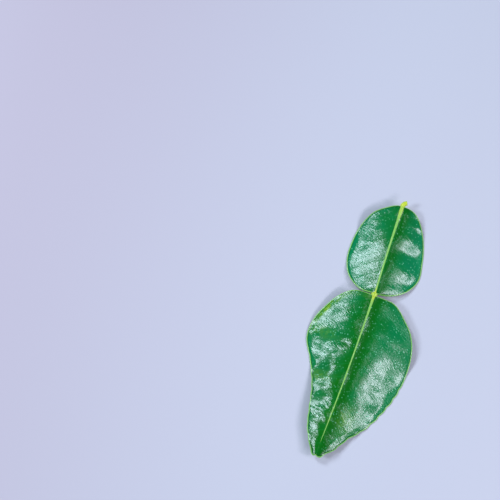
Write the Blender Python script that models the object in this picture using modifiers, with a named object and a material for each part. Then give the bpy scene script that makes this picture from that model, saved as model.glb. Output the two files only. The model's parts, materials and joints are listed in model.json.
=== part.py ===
"""A fresh kaffir lime leaf, picked and lying on a table: winged petiole, joint and blade in one piece.

Metres, +Z up. The long axis is Y: the cut stalk is at +Y and the blade's tip at -Y. The origin is the middle of
the leaf's footprint, on the table. The leaf is drawn from its joint, the knot between the winged petiole and the
blade, and moved to the origin at the end.
"""

import math

import bmesh
import bpy
from mathutils import Vector

NAME = "kaffir_lime_leaf"

# Sheet
THICKNESS = 0.0007
SIDE_COLUMNS = 9  # columns of points from the midrib to a margin
COLUMN_PLACES = (0.0, 0.016, 0.045, 0.12, 0.25, 0.41, 0.58, 0.75, 0.90, 1.0)  # as parts of a half-width
WIDE_ENOUGH = 0.006  # from this half-width on, the columns stand at COLUMN_PLACES
PRESSED_SOFTNESS = 0.00015  # how gently the sheet flattens where the table bears it
REST_REACH = 0.00008  # points of the lower side nearer to the table than this lie on it

# Winged petiole, from the joint to the stalk. Half-widths and heights are given at even turns of its length, which
# stand close together at the ends, where the outline turns round.
WING_LENGTH = 0.0420
WING_NECK = 0.0005  # from the joint to where the lamina of the winged petiole begins
WING_LEAN = math.radians(0.7)  # towards +X at the stalk
WING_BOW = -0.0002  # how far the midrib bows to +X half way
WING_ROWS = 26
WING_LEFT = (0.0024, 0.0088, 0.0136, 0.0159, 0.0159, 0.0145, 0.0111, 0.0053, 0.0016)
WING_RIGHT = (0.0012, 0.0073, 0.0134, 0.0169, 0.0163, 0.0145, 0.0113, 0.0074, 0.0030)
WING_MIDRIB_HEIGHT = (0.0034, 0.0038, 0.0043, 0.0046, 0.0046)
WING_LEFT_HEIGHT = (0.0033, 0.0012, -0.0006, 0.0018, 0.0045)
WING_RIGHT_HEIGHT = (0.0033, 0.0016, -0.0006, 0.0012, 0.0044)
WING_CREST = (0.0002, 0.0009, 0.0011, 0.0009, 0.0002)

# Blade, from the joint to the notch in its tip
BLADE_LENGTH = 0.0724
BLADE_LEAN = math.radians(3.1)  # towards -X at the tip
BLADE_NECK = 0.0003  # from the joint to the first row of the blade
BLADE_BOW = 0.00045
BLADE_ROWS = 72
BLADE_LEFT = (
    0.0058, 0.0099, 0.0141, 0.0178, 0.0209, 0.0211, 0.0161, 0.0120, 0.0098, 0.0078, 0.0049, 0.0026, 0.0016,
)
BLADE_RIGHT = (
    0.0078, 0.0112, 0.0154, 0.0204, 0.0233, 0.0242, 0.0232, 0.0202, 0.0160, 0.0102, 0.0068, 0.0035, 0.0027,
)
BLADE_MIDRIB_HEIGHT = (0.0034, 0.0042, 0.0053, 0.0058, 0.0052, 0.0034, 0.0014)
BLADE_LEFT_HEIGHT = (0.0033, 0.0024, 0.0008, -0.0006, 0.0006, 0.0014, 0.0010)
BLADE_RIGHT_HEIGHT = (0.0033, 0.0026, 0.0016, -0.0004, -0.0006, 0.0010, 0.0010)
BLADE_CREST = (0.0002, 0.0009, 0.0013, 0.0014, 0.0011, 0.0006, 0.0001)
LOBE_DEPTH = 0.0005  # how far the tip's two lobes pass its notch
LOBE_REACH = 0.0015

# Rounded teeth along the blade's lower margins, with a notch at each pitch down from the first
TOOTH_PITCH = 0.00453
TOOTH_FIRST = 0.0339  # from the joint
TOOTH_DEPTH = (0.0002, 0.0004)  # on the left and the right margin
TOOTH_FADE = 0.0030

# Bulges between the lateral veins
BULGE_PITCH = 0.0135
BULGE_HEIGHT = 0.00028
BULGE_SLANT = 0.25  # how far a vein runs on towards the tip for each step outwards

# Stalk: the cut stub beyond the winged petiole, which rises and bends to +X
STALK_LENGTH = 0.0024
STALK_BEND = 0.0016
STALK_RISE = 0.0009
STALK_TURN = math.radians(38.0)
STALK_ROWS = 4
STALK_RADIUS = 0.00115

# Knot: the joint itself
KNOT_PLACE = 0.0001
KNOT_RADIUS = 0.0013

# Midrib, as (distance from the joint, half-width, height above the sheet, height below it)
MIDRIB_ON_WING = (
    (0.0, 0.00120, 0.00055, 0.00080),
    (0.0016, 0.00065, 0.00022, 0.00055),
    (0.0200, 0.00065, 0.00022, 0.00055),
    (0.0330, 0.00085, 0.00030, 0.00065),
    (0.0420, 0.00115, 0.00070, 0.00070),
)
MIDRIB_ON_BLADE = (
    (0.0, 0.00120, 0.00055, 0.00080),
    (0.0020, 0.00075, 0.00022, 0.00060),
    (0.0300, 0.00060, 0.00018, 0.00045),
    (0.0560, 0.00045, 0.00010, 0.00025),
    (0.0690, 0.00030, 0.00000, 0.00000),
)

LEAF_GREEN = (0.010, 0.120, 0.030, 1.0)
LEAF_ROUGHNESS = 0.35


def through(values, place):
    """Reads a smooth curve through evenly spaced values. place runs from 0 at the first to 1 at the last."""
    last = len(values) - 1
    spot = min(max(place, 0.0), 1.0) * last
    index = min(int(spot), last - 1)
    part = spot - index
    before = values[max(index - 1, 0)]
    start = values[index]
    end = values[index + 1]
    after = values[min(index + 2, last)]
    out_slope = 0.5 * (end - before)
    in_slope = 0.5 * (after - start)
    rise = end - start
    square = 3.0 * rise - 2.0 * out_slope - in_slope
    cube = out_slope + in_slope - 2.0 * rise
    return start + out_slope * part + square * part**2 + cube * part**3


def midrib_at(stations, distance):
    """Half-width, height above and height below of the midrib at a distance from the joint."""
    for near, far in zip(stations, stations[1:]):
        if distance <= far[0]:
            part = (distance - near[0]) / (far[0] - near[0])
            return [a + (b - a) * part for a, b in zip(near[1:], far[1:])]
    return list(stations[-1][1:])


def turned(place):
    """Part of a length at an even turn: close steps at both ends, wide ones between."""
    return 0.5 * (1.0 - math.cos(math.pi * place))


def tooth(distance, depth):
    """How far the margin draws in at a distance down the blade, for its rounded teeth."""
    past = distance - TOOTH_FIRST
    grown = min(max(past / TOOTH_FADE + 1.0, 0.0), 1.0)
    return depth * grown * (1.0 - abs(math.sin(math.pi * past / TOOTH_PITCH)))


class Row:
    """One row of points across the leaf: where it lies, how wide and how high it is, and its midrib."""

    def __init__(self, centre, lean, widths, heights, crest, midrib, distance, lobes=0.0):
        self.centre = Vector(centre)
        self.across = Vector((math.cos(lean), math.sin(lean), 0.0))
        self.along = Vector((math.sin(lean), -math.cos(lean), 0.0))
        self.widths = widths
        self.heights = heights
        self.crest = crest
        self.midrib = midrib
        self.distance = distance
        self.lobes = lobes


def stalk_rows():
    """The stub, from its cut end to the top of the winged petiole."""
    top = WING_LENGTH
    foot_x = math.sin(WING_LEAN) * top
    foot_y = math.cos(WING_LEAN) * top
    rows = []
    for index in range(STALK_ROWS):
        part = 1.0 - index / STALK_ROWS
        centre = (
            foot_x + STALK_BEND * part * part,
            foot_y + STALK_LENGTH * part,
            WING_MIDRIB_HEIGHT[-1] + STALK_RISE * part,
        )
        lean = -STALK_TURN * part
        widths = (STALK_RADIUS, STALK_RADIUS)
        heights = (centre[2], centre[2])
        rows.append(Row(centre, lean, widths, heights, 0.0, MIDRIB_ON_WING[-1][1:], top))
    return rows


def wing_rows():
    """The winged petiole, from the stalk down to the joint."""
    rows = []
    for index in range(WING_ROWS):
        place = 1.0 - index / (WING_ROWS - 1)
        part = turned(place)
        distance = WING_NECK + (WING_LENGTH - WING_NECK) * part
        bow = WING_BOW * math.sin(math.pi * part)
        height = through(WING_MIDRIB_HEIGHT, place)
        centre = (math.sin(WING_LEAN) * distance + bow, math.cos(WING_LEAN) * distance, height)
        widths = (through(WING_LEFT, place), through(WING_RIGHT, place))
        heights = (through(WING_LEFT_HEIGHT, place), through(WING_RIGHT_HEIGHT, place))
        crest = through(WING_CREST, place)
        rows.append(Row(centre, -WING_LEAN, widths, heights, crest, midrib_at(MIDRIB_ON_WING, distance), distance))
    return rows


def knot_row():
    """The middle of the joint."""
    height = BLADE_MIDRIB_HEIGHT[0]
    widths = (KNOT_RADIUS, KNOT_RADIUS)
    return Row((0.0, KNOT_PLACE, height), 0.0, widths, (height, height), 0.0, MIDRIB_ON_BLADE[0][1:], 0.0)


def blade_rows():
    """The blade, from the joint to its tip."""
    rows = []
    for index in range(BLADE_ROWS):
        place = index / (BLADE_ROWS - 1)
        part = turned(place)
        distance = BLADE_NECK + (BLADE_LENGTH - BLADE_NECK) * part
        bow = BLADE_BOW * math.sin(math.pi * part)
        height = through(BLADE_MIDRIB_HEIGHT, place)
        centre = (-math.sin(BLADE_LEAN) * distance + bow, -math.cos(BLADE_LEAN) * distance, height)
        widths = (
            through(BLADE_LEFT, place) - tooth(distance, TOOTH_DEPTH[0]),
            through(BLADE_RIGHT, place) - tooth(distance, TOOTH_DEPTH[1]),
        )
        heights = (through(BLADE_LEFT_HEIGHT, place), through(BLADE_RIGHT_HEIGHT, place))
        crest = through(BLADE_CREST, place)
        lobes = LOBE_DEPTH * math.exp((distance - BLADE_LENGTH) / LOBE_REACH)
        midrib = midrib_at(MIDRIB_ON_BLADE, distance)
        rows.append(Row(centre, -BLADE_LEAN, widths, heights, crest, midrib, distance, lobes))
    return rows


def column_place(column, width):
    """Part of the half-width at which a column stands, from 0 at the midrib to 1 at the margin."""
    even = column / SIDE_COLUMNS
    spread = min(width / WIDE_ENOUGH, 1.0)
    return even + (COLUMN_PLACES[column] - even) * spread


def pressed(height):
    """The height of the sheet's middle, flattened where the table bears it."""
    rest = THICKNESS / 2
    return rest + PRESSED_SOFTNESS * math.log1p(math.exp((height - rest) / PRESSED_SOFTNESS))


def swell(place):
    """How a half rises between the midrib and the margin: fully a third of the way out, and level at the margin."""
    return 27.0 / 4.0 * place * (1.0 - place) ** 2


def fall(place):
    """How much of the way from the midrib's height to the margin's a half has come."""
    return place**2 * (2.0 - place)


def bulge(row, side, place):
    """The rise and dip of the sheet between and at the lateral veins."""
    width = row.widths[side]
    grown = min(width / WIDE_ENOUGH, 1.0)
    phase = (row.distance - BULGE_SLANT * width * place) / BULGE_PITCH
    return BULGE_HEIGHT * grown * math.sin(math.pi * place) * math.cos(2.0 * math.pi * phase)


def sheet_point(row, side, place):
    """A point of the sheet's middle. side is 0 on the left and 1 on the right of the midrib."""
    sign = (-1.0, 1.0)[side]
    out = row.across * (sign * row.widths[side] * place)
    down = row.along * (row.lobes * math.sin(math.pi * place))
    middle = row.centre.z
    height = middle + row.crest * swell(place) + (row.heights[side] - middle) * fall(place)
    point = row.centre + out + down
    point.z = pressed(height + bulge(row, side, place))
    return point


def leaf_sheet(rows):
    """The leaf as one open sheet of triangles, with each point's row and place kept as attributes."""
    mesh = bpy.data.meshes.new(NAME)
    grid = bmesh.new()
    bmesh.ops.create_grid(grid, x_segments=2 * SIDE_COLUMNS, y_segments=len(rows) - 1, size=1.0)
    row_layer = grid.verts.layers.int.new("row")
    offset_layer = grid.verts.layers.float.new("offset")
    for vertex in grid.verts:
        column = round(vertex.co.x * SIDE_COLUMNS)
        index = round((1.0 - vertex.co.y) / 2 * (len(rows) - 1))
        row = rows[index]
        side = 1 if column > 0 else 0
        place = column_place(abs(column), row.widths[side])
        vertex[row_layer] = index
        vertex[offset_layer] = math.copysign(place * row.widths[side], column)
        vertex.co = sheet_point(row, side, place)
    bmesh.ops.triangulate(grid, faces=grid.faces, quad_method="SHORT_EDGE")
    grid.to_mesh(mesh)
    grid.free()
    return mesh


def thickened(sheet):
    """The open sheet as a closed solid. The second half of its points lies on the lower side."""
    maker = bpy.data.objects.new("sheet", sheet)
    bpy.context.scene.collection.objects.link(maker)
    solidify = maker.modifiers.new("thickness", "SOLIDIFY")
    solidify.thickness = THICKNESS
    solidify.offset = 0.0
    evaluated = maker.evaluated_get(bpy.context.evaluated_depsgraph_get())
    solid = bpy.data.meshes.new_from_object(evaluated)
    bpy.data.objects.remove(maker)
    return solid


def raise_midrib(solid, rows, sheet_count):
    """Draws the midrib, the knot and the stub out of both sides of the sheet."""
    row_of = solid.attributes["row"].data
    offset_of = solid.attributes["offset"].data
    for index, vertex in enumerate(solid.vertices):
        half_width, above, below = rows[row_of[index].value].midrib
        reach = offset_of[index].value / half_width
        round_part = math.sqrt(max(1.0 - reach * reach, 0.0))
        upper = index < sheet_count
        vertex.co.z += above * round_part if upper else -below * round_part


def settle(solid, sheet_count):
    """Levels what the table bears, and moves the leaf so that the origin is under the middle of its footprint."""
    for index, vertex in enumerate(solid.vertices):
        if index >= sheet_count:
            vertex.co.z = vertex.co.z if vertex.co.z > REST_REACH else 0.0
    low = Vector((min(v.co[axis] for v in solid.vertices) for axis in range(3)))
    high = Vector((max(v.co[axis] for v in solid.vertices) for axis in range(3)))
    middle = (low + high) / 2
    for vertex in solid.vertices:
        vertex.co.x -= middle.x
        vertex.co.y -= middle.y


def leaf_material():
    """Glossy dark green."""
    material = bpy.data.materials.new("leaf_green")
    material.use_nodes = True
    shader = material.node_tree.nodes["Principled BSDF"]
    shader.inputs["Base Color"].default_value = LEAF_GREEN
    shader.inputs["Roughness"].default_value = LEAF_ROUGHNESS
    shader.inputs["Metallic"].default_value = 0.0
    return material


def main():
    """Builds the leaf in a collection of its own."""
    for old in list(bpy.data.objects):
        bpy.data.objects.remove(old)
    rows = stalk_rows() + wing_rows() + [knot_row()] + blade_rows()
    sheet = leaf_sheet(rows)
    sheet_count = len(sheet.vertices)
    solid = thickened(sheet)
    raise_midrib(solid, rows, sheet_count)
    settle(solid, sheet_count)
    solid.shade_smooth()
    solid.set_sharp_from_angle(angle=math.radians(50.0))
    solid.materials.append(leaf_material())
    leaf = bpy.data.objects.new(NAME, solid)
    collection = bpy.data.collections.new(NAME)
    bpy.context.scene.collection.children.link(collection)
    collection.objects.link(leaf)


main()
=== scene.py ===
"""The looks of one fresh kaffir lime leaf, lying on a pale table.

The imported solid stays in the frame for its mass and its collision. Finer pieces stand for it here: the
winged petiole, the blade, their midribs, the knot of the joint and the cut stalk. They are drawn from the
joint as the solid is, with nearly its outline in plan, and heights and a relief of their own. Lengths are in
millimetres, and become metres where a mesh, a lamp or the camera is made.
"""

import json
import logging
import math
from dataclasses import dataclass
from enum import Enum
from typing import Callable, Sequence

import bpy
import numpy as np
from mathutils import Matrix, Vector

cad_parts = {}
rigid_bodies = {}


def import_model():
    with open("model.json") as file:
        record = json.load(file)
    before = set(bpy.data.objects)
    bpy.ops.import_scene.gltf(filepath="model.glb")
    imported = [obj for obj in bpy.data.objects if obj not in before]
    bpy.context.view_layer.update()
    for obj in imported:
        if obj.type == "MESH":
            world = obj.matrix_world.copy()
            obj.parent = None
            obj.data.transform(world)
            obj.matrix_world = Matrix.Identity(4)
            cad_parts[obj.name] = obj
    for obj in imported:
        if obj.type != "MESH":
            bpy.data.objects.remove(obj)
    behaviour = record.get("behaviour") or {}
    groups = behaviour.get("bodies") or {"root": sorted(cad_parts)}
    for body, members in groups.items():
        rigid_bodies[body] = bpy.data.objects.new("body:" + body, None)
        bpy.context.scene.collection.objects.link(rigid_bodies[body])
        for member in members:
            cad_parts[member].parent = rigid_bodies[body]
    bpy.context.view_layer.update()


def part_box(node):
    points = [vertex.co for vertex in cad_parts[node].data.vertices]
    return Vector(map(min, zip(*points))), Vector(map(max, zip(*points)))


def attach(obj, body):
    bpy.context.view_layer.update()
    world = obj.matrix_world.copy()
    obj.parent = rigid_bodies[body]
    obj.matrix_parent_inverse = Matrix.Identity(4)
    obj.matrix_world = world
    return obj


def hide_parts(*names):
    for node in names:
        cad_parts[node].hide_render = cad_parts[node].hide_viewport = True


Array = np.ndarray
Colour = tuple[float, float, float]
Socket = bpy.types.NodeSocket

MM = 0.001
NODE = "kaffir_lime_leaf"
BODY = "root"
LEAF_MAP = "LeafMap"

# The solid's sheet and its bulges, which fade where a half is narrower than WIDE_ENOUGH
SOLID_THICKNESS = 0.7
PRESSED_SOFTNESS = 0.15  # how softly the lower side turns flat where the table bears it
WIDE_ENOUGH = 6.0
BULGE_PITCH = 13.5
BULGE_HEIGHT = 0.28
BULGE_SLANT = 0.25

# Relief of the fine sheet
TOOTH_SHARE = 6.0  # the higher, the nearer to the margin the teeth stay
SHEET_THICKNESS = 0.45
VEIN_SLANT = 0.45  # how far a lateral vein runs on for each step outwards
VEIN_CURL = 0.012  # and how much more it does so towards the margin
VEIN_RAISED = 0.10  # on the lower side
VEIN_SUNK = 0.03  # on the upper side
VEIN_REACH = 0.30
STROKE_SLANT = 0.53  # the fine strokes run one way across both halves
QUILT_HEIGHT = 0.02
PUCKER_HEIGHT = 0.035
PUCKER_SIZE = 3.4
FURROW_DEPTH = 0.02
FURROW_PLACE = 1.1
FURROW_REACH = 0.5
MARGIN_REACH = 3.0  # how far from the margin distances to it are measured
RIM_REACH = 0.30
RIM_EDGE = 0.04  # half-thickness at the very margin
VEIN_END = 0.5  # how far from the margin the veins end
PATCH_FADE = 0.12  # share of a half over which its patches fade at the margin
RELIEF_SPREAD = 0.8  # below 1, so quilting and puckers stand highest nearer to the midrib
ROLL_SHARPNESS = 1.3

# Factors with no pattern between them, which scatter the values of the noise
SCATTER_COLUMN = 127.1
SCATTER_ROW = 311.7
SCATTER_SEED = 74.7
SCATTER_ALL = 43758.5453

BLUE_LIGHT = (0.74, 0.86, 1.0)
BATCH = 400  # about how many points are worked out at once
TINY = 1e-12  # keeps a division off zero
LEVEL = 1e-6  # a slope below this counts as none

log = logging.getLogger("leaf")


class Side(Enum):
    """The two halves beside the midrib, seen from above with the stalk up."""

    LEFT = -1
    RIGHT = 1


def side_of(offset: Array) -> Array:
    """The half that each point lies on, as -1 or 1."""
    return np.where(offset < 0, Side.LEFT.value, Side.RIGHT.value)


def by_side(side: Array, left: Array | float, right: Array | float) -> Array:
    """The left value on the left half, and the right one on the right half."""
    return np.where(side == Side.LEFT.value, left, right)


def through(values: Sequence[float], place: Array) -> Array:
    """Reads a smooth curve through evenly spaced values.

    Args:
        values: The values, the first at place 0 and the last at place 1.
        place: Where to read them.

    Returns:
        The curve at each place.
    """
    points = np.asarray(values, float)
    last = len(points) - 1
    spot = np.clip(place, 0.0, 1.0) * last
    index = np.minimum(spot.astype(int), last - 1)
    part = spot - index
    before = points[np.maximum(index - 1, 0)]
    start = points[index]
    end = points[index + 1]
    after = points[np.minimum(index + 2, last)]
    out_slope = 0.5 * (end - before)
    in_slope = 0.5 * (after - start)
    rise = end - start
    square = 3.0 * rise - 2.0 * out_slope - in_slope
    cube = out_slope + in_slope - 2.0 * rise
    return start + out_slope * part + square * part**2 + cube * part**3


def hump(value: Array, reach: float) -> Array:
    """A bell of height 1 at 0 that has faded at about twice its reach."""
    return np.exp(-((value / reach) ** 2))


def grown(value: Array, start: float, end: float) -> Array:
    """Rises smoothly from 0 at start to 1 at end."""
    part = np.clip((value - start) / (end - start), 0.0, 1.0)
    return part * part * (3.0 - 2.0 * part)


def rough(x: Array, y: Array, size: float, seed: float) -> Array:
    """Smooth noise between about -1 and 1.

    Args:
        x: First coordinate of each point.
        y: Second coordinate.
        size: How large its lumps are.
        seed: Which noise it is.

    Returns:
        The noise at each point.
    """
    column = np.floor(x / size)
    row = np.floor(y / size)
    right = grown(x / size - column, 0.0, 1.0)
    up = grown(y / size - row, 0.0, 1.0)

    def corner(over: float, above: float) -> Array:
        """A chance value for each corner of the cells.

        Args:
            over: Columns to the right.
            above: Rows up.

        Returns:
            The values, from -1 to 1.
        """
        turn = (column + over) * SCATTER_COLUMN + (row + above) * SCATTER_ROW + seed * SCATTER_SEED
        mixed = np.sin(turn) * SCATTER_ALL
        return 2.0 * (mixed - np.floor(mixed)) - 1.0

    low = corner(0, 0) * (1.0 - right) + corner(1, 0) * right
    high = corner(0, 1) * (1.0 - right) + corner(1, 1) * right
    return low * (1.0 - up) + high * up


@dataclass(frozen=True)
class Patch:
    """A soft-edged place of a lamina that rises, leans or has a colour of its own.

    along is its distance from the joint, and offset how far it lies from the midrib, negative on the left.
    lean_along and lean_right are the slopes that it gives its middle, away from the joint and to the right.
    """

    along: float
    offset: float
    along_reach: float
    across_reach: float
    rise: float = 0.0
    lean_along: float = 0.0
    lean_right: float = 0.0

    def at(self, distance: Array, offset: Array) -> Array:
        """Works out its strength.

        Args:
            distance: Each point's distance from the joint.
            offset: Each point's offset from the midrib.

        Returns:
            Its strength at each point.
        """
        down = distance - self.along
        out = offset - self.offset
        height = self.rise + self.lean_along * down + self.lean_right * out
        return height * hump(down, self.along_reach) * hump(out, self.across_reach)


def all_of(patches: Sequence[Patch], distance: Array, offset: Array) -> Array:
    """Adds up patches.

    Args:
        patches: The patches.
        distance: Each point's distance from the joint.
        offset: Each point's offset from the midrib.

    Returns:
        Their strength at each point.
    """
    total = np.zeros(np.shape(distance))
    for patch in patches:
        total = total + patch.at(distance, offset)
    return total


@dataclass(frozen=True)
class Lamina:
    """The form of the blade or of the winged petiole: the solid's outline in plan, with its own heights.

    Distances run from the joint. Half-widths and heights are given at even turns of the length, which stand
    close together at both ends, where the outline turns round.
    """

    name: str
    heading: int  # 1 where distances run up to the stalk, -1 where they run down to the tip
    length: float
    neck: float  # from the joint to where the lamina begins
    lean: float  # degrees, of the far end towards +X
    bow: float
    left: tuple[float, ...]
    right: tuple[float, ...]
    midrib_height: tuple[float, ...]
    left_height: tuple[float, ...]
    right_height: tuple[float, ...]
    left_crest: tuple[float, ...]
    right_crest: tuple[float, ...]
    vein_pitch: float
    vein_first: float
    bulging: tuple[float, float] = (1.0, 1.0)  # of the left and the right half
    patches: tuple[Patch, ...] = ()
    tooth_depth: tuple[float, float] = (0.0, 0.0)
    tooth_pitch: float = 4.53
    tooth_first: float = 33.9
    tooth_fade: float = 3.0
    lobe_depth: float = 0.0
    lobe_reach: float = 1.5
    roll_depth: float = 0.0  # how far the right margin rolls down near the tip
    roll_place: float = 63.0
    roll_reach: float = 8.5
    roll_width: float = 3.6

    def part(self, distance: Array) -> Array:
        """How much of the length lies between the neck and a distance, from 0 to 1."""
        return np.clip((distance - self.neck) / (self.length - self.neck), 0.0, 1.0)

    def turn(self, distance: Array) -> Array:
        """The even turn at a distance, from 0 to 1."""
        return np.arccos(1.0 - 2.0 * self.part(distance)) / math.pi

    def centre(self, distance: Array) -> tuple[Array, Array]:
        """Finds where the midrib lies in plan.

        Args:
            distance: Each point's distance from the joint.

        Returns:
            Its x and its y.
        """
        lean = math.radians(self.lean)
        x = math.sin(lean) * distance + self.bow * np.sin(math.pi * self.part(distance))
        return x, self.heading * math.cos(lean) * distance

    def across(self) -> tuple[float, float]:
        """The direction from the left half to the right one."""
        lean = -self.heading * math.radians(self.lean)
        return math.cos(lean), math.sin(lean)

    def tooth(self, distance: Array, depth: float) -> Array:
        """Draws the margin in for its rounded teeth.

        Args:
            distance: Each point's distance from the joint.
            depth: How deep a notch is.

        Returns:
            How far it draws in.
        """
        past = distance - self.tooth_first
        faded_in = np.clip(past / self.tooth_fade + 1.0, 0.0, 1.0)
        return depth * faded_in * (1.0 - np.abs(np.sin(math.pi * past / self.tooth_pitch)))

    def half_width(self, distance: Array, side: Array) -> Array:
        """From the midrib to the margin without its teeth, on the side given as -1 or 1."""
        turn = self.turn(distance)
        return by_side(side, through(self.left, turn), through(self.right, turn))

    def reach(self, distance: Array, place: Array, side: Array) -> Array:
        """Works out how far from the midrib each point lies.

        Args:
            distance: Each point's distance from the joint.
            place: Each point's place, 0 at the midrib and 1 at the margin.
            side: Each point's half, as -1 or 1.

        Returns:
            How far out it lies.
        """
        left = self.tooth(distance, self.tooth_depth[0])
        right = self.tooth(distance, self.tooth_depth[1])
        drawn_in = by_side(side, left, right) * place**TOOTH_SHARE
        return place * self.half_width(distance, side) - drawn_in

    def plan(self, distance: Array, place: Array, side: Array) -> tuple[Array, Array]:
        """Where a point lies in plan.

        Args:
            distance: Its distance from the joint.
            place: 0 at the midrib and 1 at the margin.
            side: -1 or 1.

        Returns:
            Its x and its y.
        """
        out = side * self.reach(distance, place, side)
        lobes = self.lobe_depth * np.exp((distance - self.length) / self.lobe_reach)
        down = lobes * np.sin(math.pi * place)
        across_x, across_y = self.across()
        x, y = self.centre(distance)
        return x + across_x * out + across_y * down, y + across_y * out - across_x * down

    def vein_phase(self, distance: Array, offset: Array) -> Array:
        """Counts the lateral veins.

        Args:
            distance: Each point's distance from the joint.
            offset: Each point's offset from the midrib.

        Returns:
            A whole number on each vein, and a half midway between two.
        """
        out = np.abs(offset)
        started = distance + self.heading * (VEIN_SLANT * out + VEIN_CURL * out**2)
        return (started - self.vein_first) / self.vein_pitch

    def vein(self, distance: Array, offset: Array, reach: float) -> Array:
        """Draws a ridge on each lateral vein.

        Args:
            distance: Each point's distance from the joint.
            offset: Each point's offset from the midrib.
            reach: How wide a ridge is.

        Returns:
            The ridges' height, 1 on a vein.
        """
        phase = self.vein_phase(distance, offset)
        away = np.abs(phase - np.round(phase)) * self.vein_pitch
        return hump(away, reach) * np.minimum(np.abs(offset), 1.0)

    def relief(self, distance: Array, place: Array, side: Array) -> Array:
        """Adds up patches, quilting, puckers, the furrow by the midrib and the rolled margin.

        Args:
            distance: Each point's distance from the joint.
            place: Each point's place, 0 at the midrib and 1 at the margin.
            side: Each point's half, as -1 or 1.

        Returns:
            What they add to each point's height.
        """
        width = self.half_width(distance, side)
        offset = side * place * width
        inside = np.clip(place, 0.0, 1.0)
        out = np.minimum(width / WIDE_ENOUGH, 1.0) * np.sin(math.pi * inside**RELIEF_SPREAD)
        quilt = QUILT_HEIGHT * -np.cos(2.0 * math.pi * self.vein_phase(distance, offset))
        puckers = PUCKER_HEIGHT * rough(offset, distance, PUCKER_SIZE, self.length)
        furrow = FURROW_DEPTH * hump(np.abs(offset) - FURROW_PLACE, FURROW_REACH)
        edge = grown(1.0 - inside, 0.0, PATCH_FADE)
        bent = np.clip(1.0 - width * (1.0 - place) / self.roll_width, 0.0, 1.0) * (side == Side.RIGHT.value)
        roll = self.roll_depth * hump(distance - self.roll_place, self.roll_reach) * bent**ROLL_SHARPNESS
        return out * (quilt + puckers) - furrow - roll + edge * all_of(self.patches, distance, offset)

    def underside(self, distance: Array, place: Array, side: Array) -> Array:
        """Works out the height of the lower side, which the table flattens where it bears it.

        Args:
            distance: Each point's distance from the joint.
            place: Each point's place, 0 at the midrib and 1 at the margin.
            side: Each point's half, as -1 or 1.

        Returns:
            The height at each point.
        """
        width = self.half_width(distance, side)
        turn = self.turn(distance)
        middle = through(self.midrib_height, turn)
        margin = by_side(side, through(self.left_height, turn), through(self.right_height, turn))
        crest = by_side(side, through(self.left_crest, turn), through(self.right_crest, turn))
        bulging = by_side(side, *self.bulging)
        swell = 27.0 / 4.0 * place * (1.0 - place) ** 2  # 1 a third of the way out
        fall = place**2 * (2.0 - place)
        phase = (distance - BULGE_SLANT * width * place) / BULGE_PITCH
        bulge = BULGE_HEIGHT * bulging * np.minimum(width / WIDE_ENOUGH, 1.0) * np.sin(math.pi * place)
        height = middle + crest * swell + (margin - middle) * fall
        height = height + bulge * np.cos(2.0 * math.pi * phase) + self.relief(distance, place, side)
        return PRESSED_SOFTNESS * np.logaddexp(0.0, (height - SOLID_THICKNESS / 2) / PRESSED_SOFTNESS)


WINGED_PETIOLE = Lamina(
    name="winged_petiole",
    heading=1,
    length=42.0,
    neck=0.5,
    lean=0.7,
    bow=-0.2,
    left=(4.4, 9.0, 13.6, 15.9, 15.9, 14.5, 11.1, 5.3, 1.6),
    right=(1.2, 7.3, 13.4, 16.9, 16.3, 14.5, 11.3, 7.4, 3.0),
    midrib_height=(4.7, 5.3, 5.7, 5.3, 4.8),
    left_height=(3.7, 1.2, -0.6, 3.4, 4.7),
    right_height=(4.5, 1.6, -0.6, 1.6, 4.6),
    left_crest=(-0.5, -0.8, -0.5, 0.5, 0.2),
    right_crest=(0.2, 0.3, 0.3, 0.9, 0.2),
    vein_pitch=5.4,
    vein_first=5.0,
    bulging=(0.2, 1.0),
    patches=(
        Patch(3.5, -3.0, 3.0, 4.0, lean_along=-0.12, lean_right=0.06),
        Patch(6.0, -7.0, 5.0, 7.0, lean_right=0.10),
        Patch(24.2, -7.0, 3.2, 7.0, lean_along=0.10),
        Patch(21.0, -12.8, 3.5, 3.0, lean_right=-0.10),
        Patch(33.0, -6.5, 5.5, 6.0, lean_right=-0.15),
        Patch(28.0, -7.5, 2.4, 4.0, lean_along=0.10),
        Patch(34.4, 10.2, 2.4, 2.6, lean_along=0.32),
        Patch(36.5, 6.0, 2.5, 2.5, lean_along=-0.20),
        Patch(24.4, 10.5, 4.0, 7.0, lean_along=0.16, lean_right=0.06),
        Patch(11.3, 12.5, 3.2, 4.0, lean_along=0.17, lean_right=-0.13),
    ),
)

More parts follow.
